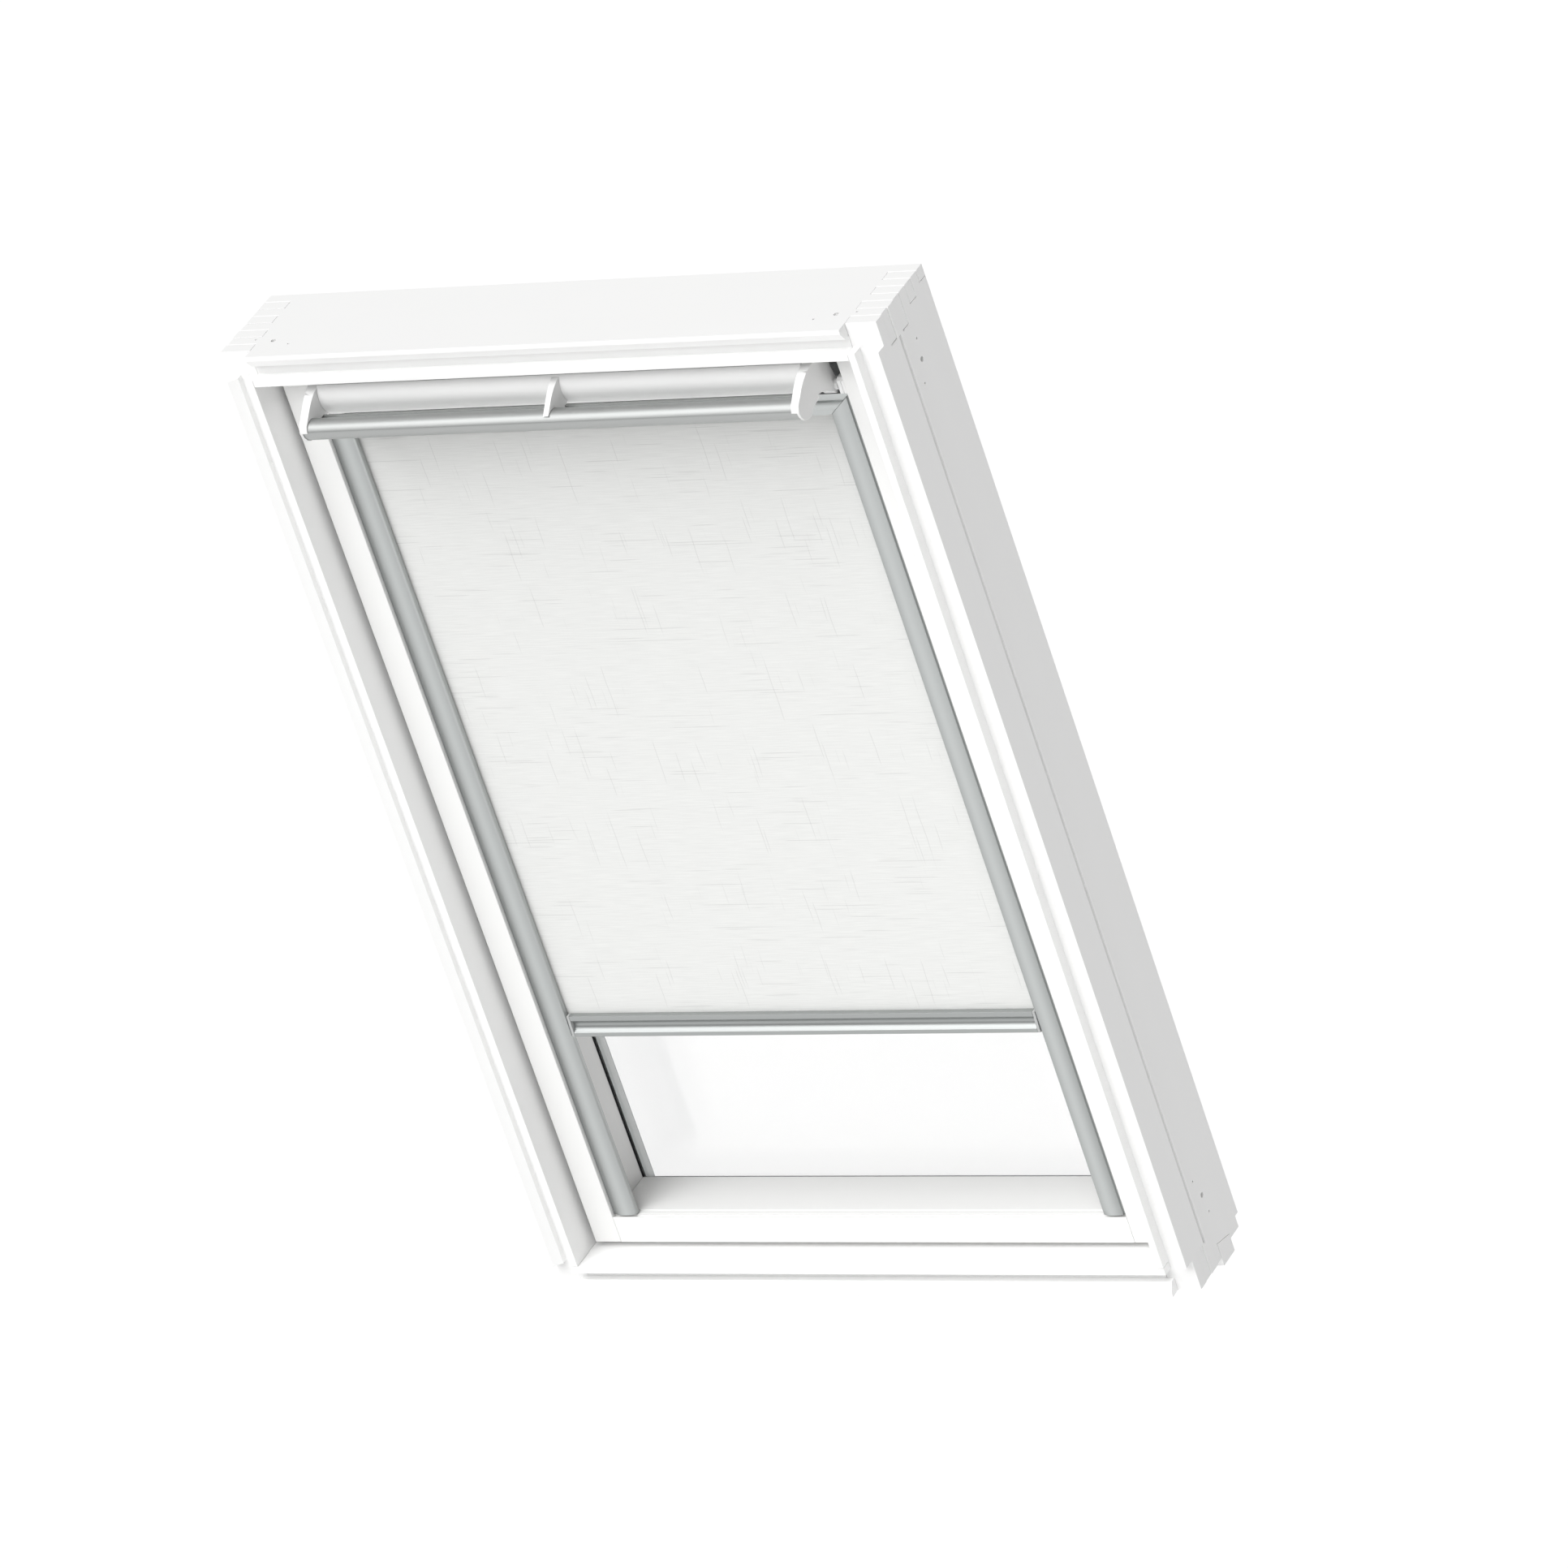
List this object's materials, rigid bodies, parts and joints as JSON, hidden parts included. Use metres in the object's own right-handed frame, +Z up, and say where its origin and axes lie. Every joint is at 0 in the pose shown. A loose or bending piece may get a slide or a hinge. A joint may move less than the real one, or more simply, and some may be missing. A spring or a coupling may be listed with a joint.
{
  "type": "skylight window blind",
  "caption": "Centre-pivot roof window with a vent flap, a control bar and a roller blind that runs in rails on its sash",
  "frame": {"origin": "middle of the frame sill's underside, at half the frame's depth", "axes": "+X to the right seen from the room, +Z up the roof slope, +Y out through the roof"},
  "size_m": [0.78, 0.1698, 1.1876],
  "materials": {
    "white_paint": "white satin lacquer on wood",
    "white_plastic": "satin",
    "silver_aluminium": "anodised satin",
    "brushed_aluminium": "anodised, brushed lengthwise",
    "grey_cladding": "grey lacquered sheet",
    "steel": "zinc plated",
    "black_rubber": "matt",
    "pane_glass": "clear float glass",
    "grey_plastic": "satin",
    "filter_foam": "open foam",
    "blind_cloth": "off-white slubbed weave"
  },
  "bodies": {
    "frame": {"frame_stile_left": "white_paint", "frame_stile_right": "white_paint", "frame_head": "white_paint", "frame_sill": "white_paint", "frame_seal": "black_rubber", "pivot_housing_left": "steel", "pivot_housing_right": "steel", "strike_plate": "steel"},
    "sash": {"pivot_plate_left": "steel", "pivot_plate_right": "steel", "sash_stile_left": "white_paint", "sash_stile_right": "white_paint", "sash_bottom_rail": "white_paint", "sash_top_rail": "white_paint", "vent_filter": "filter_foam", "glass_inner_pane": "pane_glass", "glass_outer_pane": "pane_glass", "glass_spacer": "silver_aluminium", "glass_gasket": "black_rubber", "cover_left": "grey_cladding", "cover_right": "grey_cladding", "cover_top": "grey_cladding", "cover_bottom": "grey_cladding", "lock_case": "steel", "flap_bearing_left": "white_plastic", "flap_bearing_right": "white_plastic", "blind_rail_left": "silver_aluminium", "blind_rail_right": "silver_aluminium", "blind_casing": "silver_aluminium", "roller_bracket_left": "steel", "roller_bracket_right": "steel"},
    "vent": {"vent_flap": "white_plastic", "flap_shaft": "steel", "control_bar": "brushed_aluminium", "control_arm_left": "white_plastic", "control_arm_right": "white_plastic", "control_arm_middle": "white_plastic"},
    "bolt": {"lock_bolt": "steel"},
    "blind_bar": {"bottom_bar": "silver_aluminium", "bar_end_left": "grey_plastic", "bar_end_right": "grey_plastic", "blind_fabric": "blind_cloth"},
    "roller": {"roller_tube": "silver_aluminium", "fabric_roll": "blind_cloth", "roller_plug_left": "grey_plastic", "roller_plug_right": "grey_plastic", "roller_spring": "steel"}
  },
  "joints": [
    {"name": "sash_pivot", "type": "hinge", "parent": "frame", "child": "sash", "pos_m": [0, 0.02425, 0.589], "axis": [1, 0, 0], "range_deg": [0, 160]},
    {"name": "flap_hinge", "type": "hinge", "parent": "sash", "child": "vent", "pos_m": [0, -0.0195, 1.0915], "axis": [1, 0, 0], "range_deg": [0, 40]},
    {"name": "bolt_slide", "type": "slide", "parent": "sash", "child": "bolt", "axis": [0, 0, 1], "range_m": [-0.008, 0]},
    {"name": "blind_slide", "type": "slide", "parent": "sash", "child": "blind_bar", "axis": [0, 0, 1], "range_m": [-0.229, 0.7198], "deforming": ["blind_fabric"]},
    {"name": "roller_spin", "type": "hinge", "parent": "sash", "child": "roller", "pos_m": [0, -0.0047, 1.067], "axis": [1, 0, 0], "range_deg": [-3950, 1300]}
  ],
  "couplings": [
    {"joint": "bolt_slide", "follows": "flap_hinge", "m_per_rad": -0.01145},
    {"joint": "roller_spin", "follows": "blind_slide", "rad_per_m": -94.34}
  ]
}
